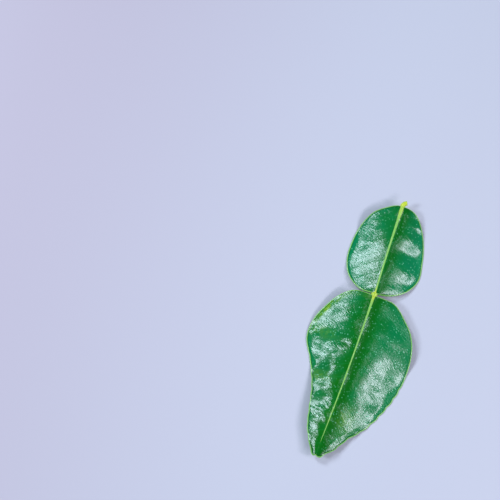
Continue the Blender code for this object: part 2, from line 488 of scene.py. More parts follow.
BLADE = Lamina(
    name="blade",
    heading=-1,
    length=72.4,
    neck=0.3,
    lean=-3.1,
    bow=0.45,
    left=(5.8, 9.9, 14.1, 17.8, 20.9, 21.1, 16.1, 12.0, 9.8, 7.8, 4.9, 2.6, 1.6),
    right=(7.8, 11.2, 15.4, 20.4, 23.3, 24.2, 23.2, 20.2, 16.0, 10.2, 6.8, 3.5, 2.7),
    midrib_height=(4.7, 4.9, 5.5, 5.8, 5.4, 4.6, 4.0),
    left_height=(4.5, 4.1, 2.9, 1.9, 0.9, 0.3, 0.2, 1.9, 2.9, 3.2, 3.1, 3.1, 3.3),
    right_height=(4.5, 4.2, 3.8, 3.7, 3.2, 0.6, -0.4, -0.6, 0.8, 2.8, 3.8, 4.0, 4.0),
    left_crest=(0.2, 0.4, 0.9, 1.1, 1.1, -0.6, 0.4, 0.3, 0.4, 0.2, 0.1, 0.1, 0.1),
    right_crest=(0.2, 0.5, 0.75, 1.0, 1.15, 1.3, 1.4, 0.9, 0.4, 0.1, 0.1, 0.1, 0.1),
    vein_pitch=5.9,
    vein_first=2.2,
    patches=(
        Patch(13.5, -12.0, 6.0, 8.0, lean_along=-0.10),
        Patch(7.0, -15.0, 3.5, 7.0, lean_along=-0.10),
        Patch(9.5, -8.0, 3.0, 3.0, lean_right=-0.10),
        Patch(12.5, -13.5, 3.5, 3.5, lean_along=0.04, lean_right=0.03),
        Patch(18.8, -20.0, 3.5, 6.0, lean_along=0.12),
        Patch(23.0, -12.0, 2.2, 7.0, lean_right=-0.25),
        Patch(27.0, -4.0, 4.5, 3.5, lean_right=0.22),
        Patch(29.5, -14.5, 4.5, 6.0, lean_along=-0.04, lean_right=0.14),
        Patch(26.8, -14.5, 2.6, 6.0, lean_along=0.13),
        Patch(33.0, -16.0, 3.5, 6.0, lean_along=-0.12),
        Patch(29.5, -9.0, 4.0, 3.2, lean_right=0.18),
        Patch(37.5, -6.0, 3.2, 4.0, lean_right=-0.12),
        Patch(30.3, -11.0, 2.6, 3.5, lean_along=-0.05, lean_right=0.12),
        Patch(27.6, -9.0, 2.8, 3.4, lean_right=0.14),
        Patch(38.0, -9.5, 3.0, 6.0, lean_along=0.20),
        Patch(37.0, -9.5, 3.0, 4.5, lean_right=0.24),
        Patch(31.0, -7.0, 3.0, 3.5, lean_along=0.10, lean_right=0.12),
        Patch(27.8, -6.2, 3.0, 2.2, lean_along=-0.06, lean_right=0.13),
        Patch(28.2, -12.0, 2.8, 2.0, lean_right=0.10),
        Patch(51.3, -2.6, 1.7, 3.2, lean_along=-0.10, lean_right=0.26),
        Patch(52.6, -1.6, 1.2, 1.5, lean_right=0.18),
        Patch(55.0, -8.5, 1.5, 2.5, lean_along=-0.14),
        Patch(58.0, -1.5, 1.4, 1.5, lean_right=0.22),
        Patch(43.5, -10.5, 2.2, 3.5, lean_along=-0.12, lean_right=-0.10),
        Patch(48.0, -7.0, 2.2, 5.0, lean_right=-0.22),
        Patch(57.2, -3.0, 1.7, 3.4, lean_along=-0.10, lean_right=0.28),
        Patch(62.0, -5.0, 2.4, 3.0, lean_along=-0.10, lean_right=0.15),
        Patch(27.0, 13.0, 4.0, 6.0, lean_along=-0.12),
        Patch(30.0, 17.5, 4.5, 4.5, lean_right=0.15),
        Patch(35.5, 13.5, 2.6, 4.5, lean_along=0.20, lean_right=-0.03),
        Patch(40.8, 14.5, 5.0, 6.0, lean_along=0.15),
        Patch(42.0, 13.0, 4.0, 6.0, lean_along=0.08, lean_right=0.04),
        Patch(48.0, 13.0, 5.0, 6.0, lean_along=0.15),
        Patch(50.0, 8.0, 3.0, 4.0, lean_right=0.10),
        Patch(53.5, 14.5, 4.0, 5.0, lean_along=0.03),
        Patch(59.0, 9.0, 5.0, 6.0, lean_along=0.17),
        Patch(65.5, 6.0, 4.5, 4.0, lean_along=0.12),
    ),
    tooth_depth=(0.2, 0.4),
    lobe_depth=0.5,
    roll_depth=0.85,
)

# Midrib, as (distance from the joint, half-width, height above the sheet, height below it)
MIDRIB_ON_WING = (
    (0.0, 0.80, 0.40, 0.80),
    (1.6, 0.38, 0.22, 0.55),
    (20.0, 0.42, 0.22, 0.55),
    (34.0, 0.54, 0.28, 0.65),
    (42.0, 0.90, 0.70, 0.70),
)
MIDRIB_ON_BLADE = (
    (0.0, 0.80, 0.40, 0.80),
    (2.0, 0.56, 0.24, 0.60),
    (12.0, 0.34, 0.20, 0.55),
    (30.0, 0.30, 0.18, 0.45),
    (52.0, 0.24, 0.12, 0.25),
    (66.8, 0.12, 0.0, 0.02),
)


def hand_over(piece: bpy.types.Object) -> None:
    """Args:
        piece: The piece.
    """
    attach(piece, BODY)
    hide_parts(NODE)


def clear_selection() -> None:
    """Leaves nothing selected, because an operator acts on all that is."""
    for thing in bpy.context.view_layer.objects:
        thing.select_set(False)


def new_piece(name: str) -> bpy.types.Object:
    """Names what an operator has just added.

    Args:
        name: The piece's name.

    Returns:
        The piece.
    """
    piece = bpy.context.object
    piece.name = name
    piece.data.name = name
    return piece


def new_grid(name: str, across: int, along: int) -> bpy.types.Object:
    """A flat grid of quads from -1 to 1, made into a closed thin sheet.

    Args:
        name: The piece's name.
        across: Number of quads along X.
        along: Number of quads along Y.

    Returns:
        The sheet, with its upper points above 0 and its lower points below 0.
    """
    clear_selection()
    bpy.ops.mesh.primitive_grid_add(x_subdivisions=across, y_subdivisions=along, size=2.0)
    sheet = new_piece(name)
    solidify = sheet.modifiers.new("thickness", "SOLIDIFY")
    solidify.thickness = 0.1  # any will do, because place_points sets the real one
    solidify.offset = 0.0
    bpy.ops.object.modifier_apply(modifier=solidify.name)
    return sheet


def new_tube(name: str, sides: int, rings: int) -> bpy.types.Object:
    """An upright closed tube, drawn up ring by ring.

    Args:
        name: The piece's name.
        sides: Points in a ring.
        rings: Number of rings, one unit apart from 0 up.

    Returns:
        The tube, of radius 1.
    """
    clear_selection()
    bpy.ops.mesh.primitive_circle_add(vertices=sides, radius=1.0, fill_type="NGON")
    tube = new_piece(name)
    bpy.ops.object.mode_set(mode="EDIT")
    bpy.ops.mesh.select_all(action="SELECT")
    for _ in range(rings - 1):
        bpy.ops.mesh.extrude_region_move(TRANSFORM_OT_translate={"value": (0.0, 0.0, 1.0)})
    bpy.ops.mesh.select_all(action="SELECT")
    bpy.ops.mesh.normals_make_consistent(inside=False)
    bpy.ops.object.mode_set(mode="OBJECT")
    return tube


def places_of(piece: bpy.types.Object) -> Array:
    """Reads the piece's points.

    Args:
        piece: The piece.

    Returns:
        Their places, one row each.
    """
    places = np.empty(len(piece.data.vertices) * 3)
    piece.data.vertices.foreach_get("co", places)
    return places.reshape(-1, 3)


def place_points(piece: bpy.types.Object, x: Array, y: Array, z: Array) -> None:
    """Moves the piece's points to places in millimetres.

    Args:
        piece: The piece.
        x: The points' x.
        y: Their y.
        z: Their z.
    """
    places = np.stack([x, y, z], axis=1) * MM
    piece.data.vertices.foreach_set("co", places.ravel())
    piece.data.update()


def corners_of(piece: bpy.types.Object) -> Array:
    """Reads which point each corner of the piece's faces stands on.

    Args:
        piece: The piece.

    Returns:
        The points' numbers.
    """
    corners = np.empty(len(piece.data.loops), int)
    piece.data.loops.foreach_get("vertex_index", corners)
    return corners


def add_leaf_map(piece: bpy.types.Object, offset: Array, distance: Array) -> None:
    """Gives the piece a map that runs in millimetres.

    Args:
        piece: The piece.
        offset: Each point's offset from the midrib.
        distance: Each point's distance from the joint.
    """
    corners = corners_of(piece)
    for old in list(piece.data.uv_layers):
        piece.data.uv_layers.remove(old)
    layer = piece.data.uv_layers.new(name=LEAF_MAP)
    spots = np.stack([offset[corners], distance[corners]], axis=1)
    layer.uv.foreach_set("vector", spots.ravel())


def add_value(piece: bpy.types.Object, name: str, values: Array) -> None:
    """Stores a value for each point under a name that materials read."""
    layer = piece.data.attributes.new(name, "FLOAT", "POINT")
    layer.data.foreach_set("value", np.asarray(values, np.float32))


def nearest(points: Array, line: Array) -> Array:
    """How far each point lies from a closed line.

    Args:
        points: Points in plan, one row each.
        line: Corners of the line, one row each.

    Returns:
        The distances.
    """
    start = line
    step = np.roll(line, -1, axis=0) - start
    square = np.maximum((step**2).sum(axis=1), TINY)
    found = []
    for batch in np.array_split(points, max(len(points) // BATCH, 1)):
        away = batch[:, None, :] - start[None]
        part = np.clip((away * step[None]).sum(axis=2) / square[None], 0.0, 1.0)
        gap = away - part[:, :, None] * step[None]
        found.append(np.sqrt((gap**2).sum(axis=2)).min(axis=1))
    return np.concatenate(found)


class Recipe:
    """Lays out the nodes of one material."""

    mix_first = 6  # the Mix node's sockets for colours
    mix_second = 7
    mix_result = 2

    def __init__(self, name: str) -> None:
        """Starts a material that holds a plain Principled shader.

        Args:
            name: The material's name.
        """
        self.material = bpy.data.materials.new(name)
        self.material.use_nodes = True
        self.tree = self.material.node_tree
        self.shader = self.tree.nodes["Principled BSDF"]

    def node(self, kind: str, **inputs: object) -> bpy.types.Node:
        """Adds a node.

        Args:
            kind: The end of the node's type name.
            **inputs: Values or sockets for its inputs, by name with low lines for spaces.

        Returns:
            The node.
        """
        made = self.tree.nodes.new("ShaderNode" + kind)
        for name, value in inputs.items():
            self.feed(made.inputs[name.replace("_", " ")], value)
        return made

    def feed(self, target: Socket, value: object) -> None:
        """Links a socket to an input, or sets a plain value on it.

        Args:
            target: The input.
            value: A socket, a number, a colour or a vector.
        """
        if isinstance(value, bpy.types.NodeSocket):
            self.tree.links.new(value, target)
        elif isinstance(value, tuple) and len(value) == 3 and target.type == "RGBA":
            target.default_value = (*value, 1.0)
        else:
            target.default_value = value

    def finish(self, **inputs: object) -> bpy.types.Material:
        """Feeds the shader.

        Args:
            **inputs: Values or sockets for its inputs, by name with low lines for spaces.

        Returns:
            The material.
        """
        for name, value in inputs.items():
            self.feed(self.shader.inputs[name.replace("_", " ")], value)
        return self.material

    def value(self, name: str) -> Socket:
        """Reads a value that the piece's points hold.

        Args:
            name: The value's name.

        Returns:
            The value.
        """
        attribute = self.node("Attribute")
        attribute.attribute_name = name
        return attribute.outputs["Fac"]

    def leaf_map(self) -> tuple[Socket, Socket]:
        """Reads the piece's map.

        Returns:
            The offset from the midrib, and the distance from the joint.
        """
        uv_map = self.node("UVMap")
        uv_map.uv_map = LEAF_MAP
        split = self.node("SeparateXYZ", Vector=uv_map.outputs["UV"])
        return split.outputs["X"], split.outputs["Y"]

    def math(self, operation: str, first: object, second: object = 0.0, third: object = 0.0) -> Socket:
        """Works out one sum.

        Args:
            operation: The Math node's operation.
            first: Its first value or socket.
            second: Its second one.
            third: Its third one.

        Returns:
            The result.
        """
        made = self.node("Math")
        made.operation = operation
        for target, value in zip(made.inputs, (first, second, third)):
            self.feed(target, value)
        return made.outputs[0]

    def times(self, first: object, second: object) -> Socket:
        """Multiplies two values or sockets."""
        return self.math("MULTIPLY", first, second)

    def vector(self, x: object, y: object) -> Socket:
        """Joins two values or sockets to a flat vector."""
        return self.node("CombineXYZ", X=x, Y=y).outputs[0]

    def step(self, value: Socket, low: float, high: float, start: float = 0.0, end: float = 1.0) -> Socket:
        """Turns a value smoothly into another.

        Args:
            value: The value.
            low: Up to here the result is start.
            high: From here on it is end.
            start: The result at the low end.
            end: The result at the high end.

        Returns:
            The result.
        """
        ranged = self.node("MapRange", Value=value)
        ranged.interpolation_type = "SMOOTHSTEP"
        ranged.inputs["From Min"].default_value = low
        ranged.inputs["From Max"].default_value = high
        ranged.inputs["To Min"].default_value = start
        ranged.inputs["To Max"].default_value = end
        return ranged.outputs["Result"]

    def mix(self, factor: object, first: object, second: object) -> Socket:
        """Mixes two colours.

        Args:
            factor: How much there is of the second, from 0 to 1.
            first: The first colour.
            second: The second colour.

        Returns:
            The mixed colour.
        """
        mixed = self.node("Mix")
        mixed.data_type = "RGBA"
        self.feed(mixed.inputs["Factor"], factor)
        self.feed(mixed.inputs[self.mix_first], first)
        self.feed(mixed.inputs[self.mix_second], second)
        return mixed.outputs[self.mix_result]

    def noise(self, vector: Socket, scale: float, detail: float = 2.0, roughness: float = 0.5) -> Socket:
        """Reads soft noise from 0 to 1."""
        made = self.node("TexNoise", Vector=vector, Scale=scale, Detail=detail, Roughness=roughness)
        return made.outputs["Fac"]

    def cells(self, vector: Socket, scale: float, feature: str = "F1") -> bpy.types.Node:
        """Adds a pattern of cells.

        Args:
            vector: Where to read it.
            scale: How close the cells stand.
            feature: What it measures.

        Returns:
            Its node.
        """
        made = self.node("TexVoronoi")
        made.feature = feature
        self.feed(made.inputs["Vector"], vector)
        self.feed(made.inputs["Scale"], scale)
        return made

    def bump(self, height: Socket, depth: float, under: Socket | None = None) -> Socket:
        """Raises the surface.

        Args:
            height: The height, from 0 to 1.
            depth: What 1 stands for, in millimetres.
            under: The relief that it lies on.

        Returns:
            The normal.
        """
        made = self.node("Bump", Height=height, Distance=depth * MM, Strength=1.0)
        if under is not None:
            self.feed(made.inputs["Normal"], under)
        return made.outputs["Normal"]

    def vein_lines(self, lamina: Lamina, offset: Socket, distance: Socket) -> Socket:
        """Draws the lateral veins.

        Args:
            lamina: The lamina that they lie in.
            offset: The offset from the midrib.
            distance: The distance from the joint.

        Returns:
            1 on a vein, and 0 from 0.4 mm beside it on.
        """
        out = self.math("ABSOLUTE", offset)
        curl = self.times(self.times(out, out), VEIN_CURL)
        run = self.math("MULTIPLY_ADD", out, VEIN_SLANT, curl)
        started = self.math("MULTIPLY_ADD", run, float(lamina.heading), distance)
        phase = self.math("DIVIDE", self.math("SUBTRACT", started, lamina.vein_first), lamina.vein_pitch)
        away = self.math("ABSOLUTE", self.math("SUBTRACT", phase, self.math("ROUND", phase)))
        return self.step(self.times(away, lamina.vein_pitch), 0.05, 0.40, 1.0, 0.0)


@dataclass(frozen=True)
class UpperSkin:
    """The glossy upper side: deep green with gland dots that partly stand in for painted glints, faint veins,
    a pale rim with a painted shade inside it, a painted shade right of the midrib and strokes in its shine.
    """

    name: str
    lamina: Lamina
    deep: Colour
    fresh: Colour
    lime: Colour = (0.165, 0.38, 0.008)
    # pale gland dots, whose colour also stands in for painted glints of the lamps
    dot: Colour = (0.17, 0.60, 0.34)
    vein: Colour = (0.008, 0.262, 0.05)
    rim: Colour = (0.22, 0.54, 0.11)
    # the colour of the painted shade just inside the pale rim
    painted_rim_shade: Colour = (0.002, 0.057, 0.008)
    # the colour of the painted shade just right of the midrib
    painted_rib_shade: Colour = (0.0, 0.115, 0.001)
    vein_strength: float = 0.22
    dot_core: float = 0.12  # a dot is full up to here from its middle
    dot_edge: float = 0.34
    dot_depth: float = 0.02
    rim_core: float = 0.34  # the rim is full up to here from the margin
    rim_edge: float = 0.48
    rim_waver: float = 0.22  # how much its width wavers
    stroke_across: float = 0.50  # how closely the strokes stand across the leaf
    stroke_along: float = 1.45
    stroke_depth: float = 0.105
    pebble_scale: float = 1.6
    pebble_depth: float = 0.016
    roughness: tuple[float, float] = (0.35, 0.46)
    specular: float = 0.0
    coat: float = 1.0
    coat_roughness: float = 0.20

    def make(self) -> bpy.types.Material:
        """Builds the material.

        Returns:
            The material.
        """
        recipe = Recipe(self.name)
        offset, distance = recipe.leaf_map()
        margin = recipe.value("margin")
        flat = recipe.vector(offset, distance)
        out = recipe.math("ABSOLUTE", offset)
        cloud = recipe.math("MULTIPLY_ADD", out, 0.055, recipe.noise(flat, 0.13, 3.0, 0.6))
        colour = recipe.mix(recipe.step(cloud, 0.45, 1.25), self.deep, self.fresh)
        uneven = recipe.step(recipe.noise(flat, 0.5, 3.0), 0.25, 0.7)
        colour = recipe.mix(recipe.times(recipe.value("lime"), uneven), colour, self.lime)
        veins = recipe.vein_lines(self.lamina, offset, distance)
        colour = recipe.mix(recipe.times(veins, self.vein_strength), colour, self.vein)
        slanted = recipe.math("MULTIPLY_ADD", offset, self.lamina.heading * STROKE_SLANT, distance)
        across = recipe.times(offset, self.stroke_across)
        combed = recipe.vector(across, recipe.times(slanted, self.stroke_along))
        # painted shade: a dark strip from just right of the midrib to about 6 mm out, on the right half only
        painted_rib_shade = recipe.times(recipe.step(offset, 0.2, 1.2), recipe.step(offset, 2.0, 6.0, 0.85, 0.0))
        colour = recipe.mix(painted_rib_shade, colour, self.painted_rib_shade)
        glands = recipe.cells(flat, 1.0)
        chance = recipe.node("SeparateColor", Color=glands.outputs["Color"]).outputs[0]
        dots = recipe.step(glands.outputs["Distance"], self.dot_core, self.dot_edge, 1.0, 0.0)
        dots = recipe.times(dots, recipe.step(chance, 0.05, 0.70))
        # painted glints: the pale dots come in clusters and grow stronger away from the midrib, where the
        # surface catches more light, so they are glints as much as glands
        crowding = recipe.step(recipe.noise(flat, 0.28), 0.35, 0.62, 0.4, 1.0)
        dots_and_painted_glints = recipe.times(recipe.times(crowding, dots), recipe.step(out, 0.8, 6.0, 0.40, 0.85))
        colour = recipe.mix(dots_and_painted_glints, colour, self.dot)
        moved = recipe.math("ADD", margin, self.rim_waver / 2)
        shifted = recipe.math("MULTIPLY_ADD", recipe.noise(flat, 0.35), -self.rim_waver, moved)
        # painted shade: a dark band just inside the pale rim, where the margin turns down
        painted_margin_shade = recipe.step(shifted, 0.50, 0.95, 0.7, 0.0)
        colour = recipe.mix(painted_margin_shade, colour, self.painted_rim_shade)
        rim = recipe.step(shifted, self.rim_core, self.rim_edge, 1.0, 0.0)
        colour = recipe.mix(rim, colour, self.rim)
        strokes = recipe.noise(combed, 1.0, 2.0, 0.55)
        pebbles = recipe.cells(flat, self.pebble_scale).outputs["Distance"]
        normal = recipe.bump(strokes, self.stroke_depth)
        normal = recipe.bump(pebbles, self.pebble_depth, normal)
        normal = recipe.bump(dots, self.dot_depth, normal)
        return recipe.finish(
            Base_Color=colour,
            Roughness=recipe.step(recipe.noise(flat, 0.8), 0.3, 0.7, *self.roughness),
            Specular_IOR_Level=self.specular,
            Normal=normal,
            Coat_Weight=self.coat,
            Coat_Roughness=self.coat_roughness,
            Coat_Normal=normal,
        )


@dataclass(frozen=True)
class UnderSkin:
    """The pale and dull lower side, with its net of veins."""

    name: str
    lamina: Lamina
    green: Colour = (0.11, 0.26, 0.07)
    pale: Colour = (0.17, 0.34, 0.11)
    vein: Colour = (0.27, 0.44, 0.16)
    dot: Colour = (0.07, 0.19, 0.045)
    rim: Colour = (0.36, 0.55, 0.16)
    vein_strength: float = 0.8
    net_scale: float = 0.62
    net_height: float = 0.05
    grain_height: float = 0.05
    roughness: float = 0.52

    def make(self) -> bpy.types.Material:
        """Builds the material.

        Returns:
            The material.
        """
        recipe = Recipe(self.name)
        offset, distance = recipe.leaf_map()
        flat = recipe.vector(offset, distance)
        colour = recipe.mix(recipe.step(recipe.noise(flat, 0.16, 3.0), 0.3, 0.7), self.green, self.pale)
        wavy = recipe.noise(flat, 0.9)
        bent = recipe.vector(recipe.math("ADD", offset, wavy), recipe.math("ADD", distance, wavy))
        net = recipe.cells(bent, self.net_scale, "DISTANCE_TO_EDGE").outputs["Distance"]
        fine = recipe.step(net, 0.02, 0.11, 0.55, 0.0)
        colour = recipe.mix(fine, colour, self.vein)
        dots = recipe.step(recipe.cells(flat, 1.1).outputs["Distance"], 0.10, 0.20, 0.6, 0.0)
        colour = recipe.mix(dots, colour, self.dot)
        lines = recipe.vein_lines(self.lamina, offset, distance)
        colour = recipe.mix(recipe.times(lines, self.vein_strength), colour, self.vein)
        colour = recipe.mix(recipe.step(recipe.value("margin"), 0.25, 0.45, 1.0, 0.0), colour, self.rim)
        normal = recipe.bump(fine, self.net_height)
        normal = recipe.bump(recipe.noise(flat, 2.4, 3.0), self.grain_height, normal)
        return recipe.finish(Base_Color=colour, Roughness=self.roughness, Normal=normal)


@dataclass(frozen=True)
class RibSkin:
    """The pale, finely streaked skin of the midrib, the knot and the stalk."""

    name: str
    green: Colour = (0.18, 0.49, 0.057)
    pale: Colour = (0.34, 0.62, 0.13)
    yellow: Colour = (0.62, 0.69, 0.025)
    roughness: float = 0.36
    streaks: float = 7.0  # how much longer than wide a streak is
    lumps: float = 0.03
    grain_height: float = 0.02

    def make(self) -> bpy.types.Material:
        """Builds the material.

        Returns:
            The material.
        """
        recipe = Recipe(self.name)
        offset, distance = recipe.leaf_map()
        flat = recipe.vector(offset, distance)
        long = recipe.vector(recipe.times(offset, self.streaks), distance)
        fibres = recipe.noise(long, 0.7, 3.0, 0.6)
        colour = recipe.mix(recipe.step(fibres, 0.3, 0.7), self.green, self.pale)
        colour = recipe.mix(recipe.value("yellow"), colour, self.yellow)
        mottle = recipe.step(recipe.noise(flat, 1.4, 3.0), 0.35, 0.75, 0.0, 0.35)
        colour = recipe.mix(mottle, colour, self.green)
        normal = recipe.bump(fibres, self.lumps)
        normal = recipe.bump(recipe.noise(flat, 3.0), self.grain_height, normal)
        return recipe.finish(Base_Color=colour, Roughness=self.roughness, Normal=normal)


@dataclass(frozen=True)
class CutSkin:
    """The cut face of the stalk: a pale ring of bark, then wood, then pith."""

    name: str
    wood: Colour = (0.68, 0.76, 0.18)
    pith: Colour = (0.80, 0.84, 0.36)
    bark: Colour = (0.32, 0.54, 0.06)
    grain_scale: float = 4500.0  # to the metre
    grain_height: float = 0.04
    roughness: float = 0.7

    def make(self) -> bpy.types.Material:
        """Builds the material.

        Returns:
            The material.
        """
        recipe = Recipe(self.name)
        place = recipe.value("radius")
        where = recipe.node("TexCoord").outputs["Object"]
        colour = recipe.mix(recipe.step(place, 0.35, 0.5), self.pith, self.wood)
        colour = recipe.mix(recipe.step(place, 0.80, 0.93), colour, self.bark)
        grain = recipe.noise(where, self.grain_scale)
        colour = recipe.mix(recipe.step(grain, 0.4, 0.7, 0.0, 0.4), colour, self.bark)
        normal = recipe.bump(grain, self.grain_height)
        return recipe.finish(Base_Color=colour, Roughness=self.roughness, Normal=normal)


@dataclass
class LaminaPiece:
    """The blade or the winged petiole as one thin closed sheet with a rounded rim."""

    form: Lamina
    upper: UpperSkin
    under: UnderSkin
    rows: int
    columns: int  # on each half
    lime: tuple[Patch, ...] = ()
    lime_margin: tuple[float, float, Side] | None = None  # where a half's margin turns yellow-green
    lime_fade: tuple[float, float] = (1.7, 2.9)  # from the margin: full up to here, and gone from here on
    bunching: float = 0.6  # how much closer the rows stand at both ends
    edge_steps: tuple[float, ...] = (0.0, 0.02, 0.06, 0.12, 0.20, 0.31, 0.47, 0.70)

    def build(self) -> bpy.types.Object:
        """Builds and dresses the piece, drawn from the joint.

        Returns:
            The piece.
        """
        sheet = new_grid(self.form.name, 2 * self.columns, self.rows - 1)
        grid = places_of(sheet)
        column = np.rint(grid[:, 0] * self.columns)
        row = np.rint((1.0 - grid[:, 1]) / 2.0 * (self.rows - 1))
        above = grid[:, 2] > 0.0
        side = side_of(column)
        distance = self.row_distance(row)
        width = self.form.half_width(distance, side)
        place = self.column_offset(np.abs(column), width) / width
        x, y = self.form.plan(distance, place, side)
        outer = (np.abs(column) == self.columns) | (row == 0) | (row == self.rows - 1)
        beyond = np.minimum(distance - self.form.neck, self.form.length - distance)
        close = np.minimum(width * (1.0 - place), beyond) < MARGIN_REACH
        margin = np.full(len(x), MARGIN_REACH)
        line = self.outline(x, y, column, row, above & outer)
        margin[close] = np.minimum(nearest(np.stack([x[close], y[close]], axis=1), line), MARGIN_REACH)
        offset = side * self.form.reach(distance, place, side)
        low = self.form.underside(distance, place, side)
        top, bottom = self.faces(low, margin, self.form.vein(distance, offset, VEIN_REACH))
        place_points(sheet, x, y, np.where(above, top, bottom))
        add_leaf_map(sheet, offset, distance)
        add_value(sheet, "margin", margin)
        add_value(sheet, "lime", self.lime_part(distance, offset, margin))
        self.dress(sheet, above)
        return sheet

    def row_distance(self, row: Array) -> Array:
        """Finds how far from the joint a row lies.

        Args:
            row: The row, from 0 for the one nearest to the stalk.

        Returns:
            Its distance.
        """
        even = row / (self.rows - 1)
        part = even - self.bunching * np.sin(2.0 * math.pi * even) / (2.0 * math.pi)
        if self.form.heading > 0:
            part = 1.0 - part
        return self.form.neck + (self.form.length - self.form.neck) * part

    def column_offset(self, column: Array, width: Array) -> Array:
        """Spaces the columns evenly, and closer at the margin.

        Args:
            column: The column, from 0 at the midrib.
            width: The half's width there.

        Returns:
            How far from the midrib it lies.
        """
        steps = np.array(self.edge_steps)
        scale = np.minimum(width / WIDE_ENOUGH, 1.0)
        inner = self.columns - len(steps) + 1
        even = column / inner * (width - steps[-1] * scale)
        from_edge = np.clip(self.columns - column, 0, len(steps) - 1).astype(int)
        return np.where(column <= inner, even, width - steps[from_edge] * scale)

    def outline(self, x: Array, y: Array, column: Array, row: Array, chosen: Array) -> Array:
        """Draws the piece's outline in plan.

        Args:
            x: The points' x.
            y: Their y.
            column: Each point's column.
            row: Each point's row.
            chosen: Which points lie on the outline.

        Returns:
            Its corners in order round it, one row each.
        """
        spots = np.flatnonzero(chosen)
        around = np.arctan2(column[spots] / self.columns, row[spots] / (self.rows - 1) - 0.5)
        order = spots[np.argsort(around)]
        return np.stack([x[order], y[order]], axis=1)

    def faces(self, low: Array, margin: Array, vein: Array) -> tuple[Array, Array]:
        """Gives the sheet its thickness, its rounded rim and its veins.

        Args:
            low: The height of the plain lower side.
            margin: How far each point lies from the margin.
            vein: 1 on a lateral vein.

        Returns:
            The heights of its upper and of its lower side.
        """
        inward = np.clip(1.0 - margin / RIM_REACH, 0.0, 1.0)
        half = RIM_EDGE + (SHEET_THICKNESS / 2 - RIM_EDGE) * np.sqrt(1.0 - inward**2)
        middle = low + SHEET_THICKNESS / 2
        ridge = vein * grown(margin, VEIN_END, MARGIN_REACH)
        top = middle + half - VEIN_SUNK * ridge
        return top, np.maximum(middle - half - VEIN_RAISED * ridge, 0.0)

    def lime_part(self, distance: Array, offset: Array, margin: Array) -> Array:
        """Works out how yellow-green each point is.

        Args:
            distance: Each point's distance from the joint.
            offset: Each point's offset from the midrib.
            margin: How far each point lies from the margin.

        Returns:
            How much, from 0 to 1.
        """
        part = all_of(self.lime, distance, offset)
        if self.lime_margin is not None:
            start, end, side = self.lime_margin
            near, far = self.lime_fade
            band = hump(distance - (start + end) / 2, (end - start) / 2) * grown(-margin, -far, -near)
            part = part + band * (offset * side.value > 0)
        return np.clip(part, 0.0, 1.0)

    def dress(self, sheet: bpy.types.Object, above: Array) -> None:
        """Gives both sides their skins.

        Args:
            sheet: The sheet.
            above: Which of its points lie on the upper side.
        """
        sheet.data.materials.append(self.upper.make())
        sheet.data.materials.append(self.under.make())
        starts = np.empty(len(sheet.data.polygons), int)
        sheet.data.polygons.foreach_get("loop_start", starts)
        lower = 1 - np.maximum.reduceat(above[corners_of(sheet)].astype(int), starts)
        sheet.data.polygons.foreach_set("material_index", lower)
        sheet.data.shade_smooth()


@dataclass
class Midrib:
    """The pale midrib of one lamina: a strand let into the sheet, with a keel below."""

    name: str
    form: Lamina
    stations: tuple[tuple[float, ...], ...]
    end: float
    rings: int
    sides: int = 28
    sunk: float = 0.04  # how far its edges lie under the sheet's upper side
    wobble: float = 0.05
    wobble_size: float = 1.7
    wobble_seed: float = 3.0
    joint_reach: float = 2.6  # how far from the joint it is yellow
    yellow_end: float = 0.0  # how yellow it is at its far end
    end_reach: float = 9.0

    def build(self) -> bpy.types.Object:
        """Builds and dresses the strand.

        Returns:
            The strand.
        """
        strand = new_tube(self.name, self.sides, self.rings)
        tube = places_of(strand)
        angle = np.arctan2(tube[:, 1], tube[:, 0])
        distance = self.end * (np.rint(tube[:, 2]) / (self.rings - 1))
        half_width, above, below = self.section(distance)
        noise = rough(distance, np.zeros_like(distance), self.wobble_size, self.wobble_seed)
        offset = half_width * (1.0 + self.wobble * noise) * np.cos(angle)
        side = side_of(offset)
        width = self.form.half_width(distance, side)
        place = np.clip(np.abs(offset) / width, 0.0, 1.0)
        x, y = self.form.plan(distance, place, side)
        low = self.form.underside(distance, place, side)
        rise = np.sin(angle)
        top = low + SHEET_THICKNESS - self.sunk + (above + self.sunk) * np.maximum(rise, 0.0)
        bottom = low + self.sunk - (below + self.sunk) * np.abs(np.minimum(rise, 0.0))
        flat = np.abs(rise) < LEVEL
        z = np.where(flat, low + SHEET_THICKNESS / 2, np.where(rise > 0, top, np.maximum(bottom, 0.0)))
        place_points(strand, x, y, z)
        add_leaf_map(strand, half_width * angle, distance)
        far = self.yellow_end * grown(distance, self.end - self.end_reach, self.end)
        add_value(strand, "yellow", np.clip(hump(distance, self.joint_reach) + far, 0.0, 1.0))
        strand.data.materials.append(RibSkin("midrib_" + self.form.name).make())
        strand.data.shade_smooth()
        return strand

    def section(self, distance: Array) -> tuple[Array, ...]:
        """Half-width, height above and height below the sheet at each distance."""
        table = np.array(self.stations)
        return tuple(np.interp(distance, table[:, 0], table[:, k]) for k in (1, 2, 3))


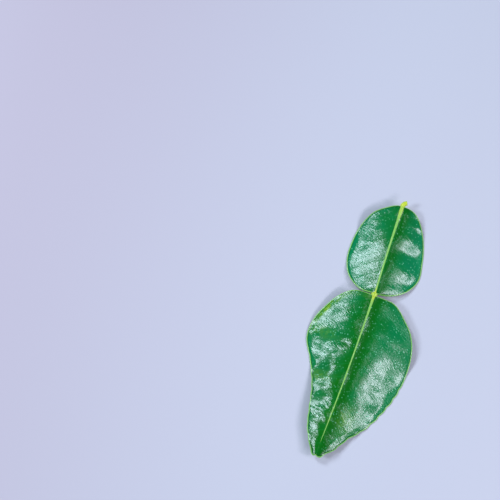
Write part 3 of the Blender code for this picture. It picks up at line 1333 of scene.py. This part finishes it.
@dataclass
class Knot:
    """The swollen joint between the winged petiole and the blade."""

    name: str = "joint_knot"
    half_width: float = 1.30
    half_length: float = 1.35
    half_height: float = 0.95
    lift: float = 0.12  # its middle above the middle of the sheet
    corners: float = 0.10  # how far its four corners stand out
    lump_height: float = 0.06
    lump_size: float = 0.45
    lump_seed: float = 8.0
    groove_depth: float = 0.10
    groove_place: float = -0.15
    groove_width: float = 0.16
    yellow: float = 0.95
    yellow_loss: float = 0.25  # at its top and its bottom

    def build(self) -> bpy.types.Object:
        """Builds and dresses the knot.

        Returns:
            The knot.
        """
        clear_selection()
        bpy.ops.mesh.primitive_ico_sphere_add(subdivisions=5, radius=1.0)
        knot = new_piece(self.name)
        ball_x, ball_y, ball_z = places_of(knot).T
        level = np.abs(ball_z)
        lumps = 1.0 + self.corners * np.cos(4.0 * np.arctan2(ball_y, ball_x)) * (1.0 - level)
        lumps = lumps + self.lump_height * rough(ball_x, ball_y, self.lump_size, self.lump_seed)
        groove = 1.0 - self.groove_depth * hump(ball_y - self.groove_place, self.groove_width)
        x = ball_x * self.half_width * lumps * groove
        y = ball_y * self.half_length * lumps
        z = ball_z * self.half_height * lumps * groove + BLADE.midrib_height[0] - SOLID_THICKNESS / 2
        z = z + SHEET_THICKNESS / 2 + self.lift
        place_points(knot, x, y, z)
        add_leaf_map(knot, x, -y)
        add_value(knot, "yellow", np.clip(self.yellow - self.yellow_loss * level, 0.0, 1.0))
        knot.data.materials.append(RibSkin("knot_skin", lumps=0.05, streaks=2.0).make())
        knot.data.shade_smooth()
        return knot


@dataclass
class CutStalk:
    """The stub of the leaf stalk above the winged petiole, which bends aside and ends in a plain cut."""

    name: str = "cut_stalk"
    root: float = 3.5  # how far it reaches down into the winged petiole
    length: float = 2.4
    up: float = 1.9  # how far its end lies beyond the winged petiole
    over: float = 1.55  # and how far aside, towards +X
    rise: float = 0.5
    turn: float = 70.0  # degrees, of its cut end
    half_width: float = 1.08
    half_height: float = 0.95
    narrowing: float = 0.12  # how much narrower its cut end is
    root_narrowing: float = 0.20  # how much narrower it starts
    wobble: float = 0.04
    wobble_size: float = 0.8
    wobble_seed: float = 5.0
    wobble_turn: float = 1.3  # how fast the wobble changes round it
    yellow_place: float = 0.6  # from here on it is all yellow
    cut_slant: float = 0.35  # how far the cut face leans back for each step up
    smooth_angle: float = 40.0
    rings: int = 40
    sides: int = 32
    cap: tuple[float, ...] = (0.97, 0.90, 0.75, 0.55, 0.35, 0.15)  # radii of the rings on the cut face

    def build(self) -> bpy.types.Object:
        """Builds and dresses the stub.

        Returns:
            The stub.
        """
        stub = new_tube(self.name, self.sides, self.rings + len(self.cap))
        tube = places_of(stub)
        ring = np.rint(tube[:, 2]).astype(int)
        angle = np.arctan2(tube[:, 1], tube[:, 0])
        body = np.clip(ring / (self.rings - 1), 0.0, 1.0)
        radius = np.array([1.0] * self.rings + list(self.cap))[ring]
        travel = body * (self.root + self.length) - self.root
        past = np.clip(travel / self.length, 0.0, 1.0)
        lean = math.radians(WINGED_PETIOLE.lean)
        foot_x = math.sin(lean) * WINGED_PETIOLE.length
        foot_y = math.cos(lean) * WINGED_PETIOLE.length
        corner = self.up - self.over / math.tan(math.radians(self.turn))
        middle_x = foot_x + self.over * past**2 + np.minimum(travel, 0.0) * math.sin(lean)
        middle_y = foot_y + np.minimum(travel, 0.0) + 2.0 * corner * past * (1.0 - past) + self.up * past**2
        rest = WINGED_PETIOLE.midrib_height[-1] - SOLID_THICKNESS / 2 + SHEET_THICKNESS / 2
        turn = -np.arctan2(self.over * past, corner * (1.0 - 2.0 * past) + self.up * past)
        noise = rough(angle * self.wobble_turn, travel, self.wobble_size, self.wobble_seed)
        swell = 1.0 - self.narrowing * past**2 + self.wobble * noise
        thin = 1.0 - self.root_narrowing + self.root_narrowing * grown(travel, -self.root, 0.0)
        out = np.cos(angle) * self.half_width * swell * thin * radius
        up = np.sin(angle) * self.half_height * swell * thin * radius
        x = middle_x + np.cos(turn) * out - self.cut_slant * up * past**4
        y = middle_y + np.sin(turn) * out
        place_points(stub, x, y, rest + self.rise * past + up)
        add_leaf_map(stub, self.half_width * angle, WINGED_PETIOLE.length + travel)
        add_value(stub, "yellow", grown(travel, -self.root, self.yellow_place))
        add_value(stub, "radius", radius)
        self.dress(stub, ring)
        return stub

    def dress(self, stub: bpy.types.Object, ring: Array) -> None:
        """Gives the stub its skin and its cut face.

        Args:
            stub: The stub.
            ring: The ring that each of its points lies on.
        """
        stub.data.materials.append(RibSkin("stalk_skin").make())
        stub.data.materials.append(CutSkin("stalk_cut").make())
        for face in stub.data.polygons:
            face.material_index = 1 if min(ring[v] for v in face.vertices) >= self.rings - 1 else 0
        stub.data.shade_smooth()
        clear_selection()
        stub.select_set(True)
        bpy.context.view_layer.objects.active = stub
        bpy.ops.object.shade_smooth_by_angle(angle=math.radians(self.smooth_angle))


def settle(pieces: Sequence[bpy.types.Object]) -> None:
    """Moves pieces drawn from the joint so that their outline is centred in the solid's.

    Args:
        pieces: The pieces.
    """
    low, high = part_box(NODE)
    places = np.concatenate([places_of(piece) for piece in pieces])
    middle = (places.min(axis=0) + places.max(axis=0)) / 2
    shift_x = (low.x + high.x) / 2 - middle[0]
    shift_y = (low.y + high.y) / 2 - middle[1]
    log.info("joint at %.3f, %.3f mm", shift_x / MM, shift_y / MM)
    for piece in pieces:
        moved = places_of(piece) / MM
        place_points(piece, moved[:, 0] + shift_x / MM, moved[:, 1] + shift_y / MM, moved[:, 2])


@dataclass(frozen=True)
class Softbox:
    """A soft oblong lamp that faces the leaf, placed by its angle round and its height over the table."""

    name: str
    azimuth: float  # degrees from +X towards +Y
    elevation: float
    width: float
    height: float
    power: float
    colour: Colour = (0.84, 0.86, 1.0)
    distance: float = 1000.0

    def build(self) -> None:
        """Adds the lamp."""
        flat = math.radians(self.azimuth)
        up = math.radians(self.elevation)
        away = Vector((math.cos(flat) * math.cos(up), math.sin(flat) * math.cos(up), math.sin(up)))
        data = bpy.data.lights.new(self.name, "AREA")
        data.shape = "RECTANGLE"
        data.size = self.width * MM
        data.size_y = self.height * MM
        data.energy = self.power
        data.color = self.colour
        lamp = bpy.data.objects.new(self.name, data)
        lamp.location = away * self.distance * MM
        lamp.rotation_euler = away.to_track_quat("Z", "Y").to_euler()
        bpy.context.scene.collection.objects.link(lamp)


@dataclass(frozen=True)
class Studio:
    """The pale table, the soft light and the camera at the photograph's angle."""

    table_size: float = 3000.0
    table_gap: float = 0.01  # keeps the table just under the leaf
    table_colour: Colour = (0.575, 0.56, 0.625)
    table_painted_shade_colour: Colour = (0.50, 0.43, 0.50)  # painted shade, darker and pinker to the left, where the lamps stand nearer
    table_far_reach: float = 190.0
    table_roughness: float = 0.6
    sky: Colour = (0.55, 0.80, 1.0)
    sky_strength: float = 0.14
    azimuth: float = 18.4
    elevation: float = 75.0
    distance: float = 420.0
    target: tuple[float, float] = (-57.71, 17.265)
    half_view: float = 0.2619  # tangent of half the view's angle
    sensor: float = 36.0
    near_clip: float = 0.01  # metres
    lamps: tuple[Softbox, ...] = (
        Softbox("left_far_softbox", 154.0, 46.0, 220.0, 280.0, 5.0, BLUE_LIGHT),
        Softbox("left_near_softbox", 200.0, 42.0, 220.0, 240.0, 4.7, BLUE_LIGHT),
        Softbox("right_softbox", 2.0, 37.0, 280.0, 220.0, 4.3),
        Softbox("low_right_softbox", -32.0, 41.0, 420.0, 110.0, 2.6),
        Softbox("right_high_softbox", 8.0, 52.0, 220.0, 220.0, 0.9),
        Softbox("top_softbox", 36.0, 70.0, 200.0, 200.0, 0.5, BLUE_LIGHT),
    )

    def build(self) -> None:
        """Sets up table, light and camera."""
        self.lay_table()
        for lamp in self.lamps:
            lamp.build()
        world = bpy.data.worlds.new("studio")
        world.use_nodes = True
        background = world.node_tree.nodes["Background"]
        background.inputs["Color"].default_value = (*self.sky, 1.0)
        background.inputs["Strength"].default_value = self.sky_strength
        bpy.context.scene.world = world
        bpy.context.scene.view_settings.view_transform = "Standard"
        self.set_camera()

    def lay_table(self) -> None:
        """Adds the pale table, with painted shade that makes it darker and pinker to the left."""
        clear_selection()
        bpy.ops.mesh.primitive_plane_add(size=self.table_size * MM, location=(0.0, 0.0, -self.table_gap * MM))
        table = bpy.context.object
        table.name = "table_top"
        recipe = Recipe("pale_table")
        place = recipe.node("SeparateXYZ", Vector=recipe.node("TexCoord").outputs["Object"])
        near = recipe.step(place.outputs["X"], -self.table_far_reach * MM, 0.0)
        colour = recipe.mix(near, self.table_painted_shade_colour, self.table_colour)
        table.data.materials.append(recipe.finish(Base_Color=colour, Roughness=self.table_roughness))

    def set_camera(self) -> None:
        """Places the camera by the photograph's view of the leaf."""
        turn = math.radians(self.azimuth)
        rise = math.radians(self.elevation)
        back = Vector((math.sin(turn) * math.cos(rise), -math.cos(turn) * math.cos(rise), math.sin(rise)))
        data = bpy.data.cameras.new("photo_camera")
        data.sensor_width = self.sensor
        data.lens = self.sensor / 2 / self.half_view
        data.clip_start = self.near_clip
        camera = bpy.data.objects.new("photo_camera", data)
        camera.location = (Vector((*self.target, 0.0)) + back * self.distance) * MM
        camera.rotation_euler = back.to_track_quat("Z", "Y").to_euler()
        bpy.context.scene.collection.objects.link(camera)
        bpy.context.scene.camera = camera


def leaf_parts() -> list[tuple[str, Callable[[], bpy.types.Object]]]:
    """Names each piece of the leaf with what builds it, from the stalk to the tip.

    Returns:
        Each piece's title, and the method that builds it.
    """
    petiole = LaminaPiece(
        WINGED_PETIOLE,
        UpperSkin("petiole_upper", WINGED_PETIOLE, deep=(0.0, 0.160, 0.020), fresh=(0.0, 0.213, 0.070)),
        UnderSkin("petiole_under", WINGED_PETIOLE),
        rows=170,
        columns=50,
    )
    blade = LaminaPiece(
        BLADE,
        UpperSkin("blade_upper", BLADE, deep=(0.0, 0.140, 0.003), fresh=(0.0, 0.193, 0.050)),
        UnderSkin("blade_under", BLADE),
        rows=300,
        columns=60,
        lime=(
            Patch(55.0, 5.0, 5.0, 5.0, 0.45),
            Patch(41.0, -11.0, 2.6, 5.0, 0.5),
            Patch(22.5, -16.0, 2.6, 6.0, 0.4),
        ),
        lime_margin=(4.0, 20.0, Side.LEFT),
    )
    wing_rib = Midrib("petiole_midrib", WINGED_PETIOLE, MIDRIB_ON_WING, 41.8, 220, yellow_end=0.5)
    blade_rib = Midrib("blade_midrib", BLADE, MIDRIB_ON_BLADE, 66.8, 320)
    return [
        ("cut stalk", CutStalk().build),
        ("winged petiole", petiole.build),
        ("midrib of the winged petiole", wing_rib.build),
        ("knot of the joint", Knot().build),
        ("blade", blade.build),
        ("midrib of the blade", blade_rib.build),
    ]


def main() -> None:
    """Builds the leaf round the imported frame, and the studio round the leaf."""
    logging.basicConfig(level=logging.INFO, format="%(message)s")
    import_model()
    pieces = []
    for title, build in leaf_parts():
        piece = build()
        pieces.append(piece)
        log.info("%s: %s, %d faces", title, piece.name, len(piece.data.polygons))
    settle(pieces)
    for piece in pieces:
        hand_over(piece)
    Studio().build()


if __name__ == "__main__":
    main()
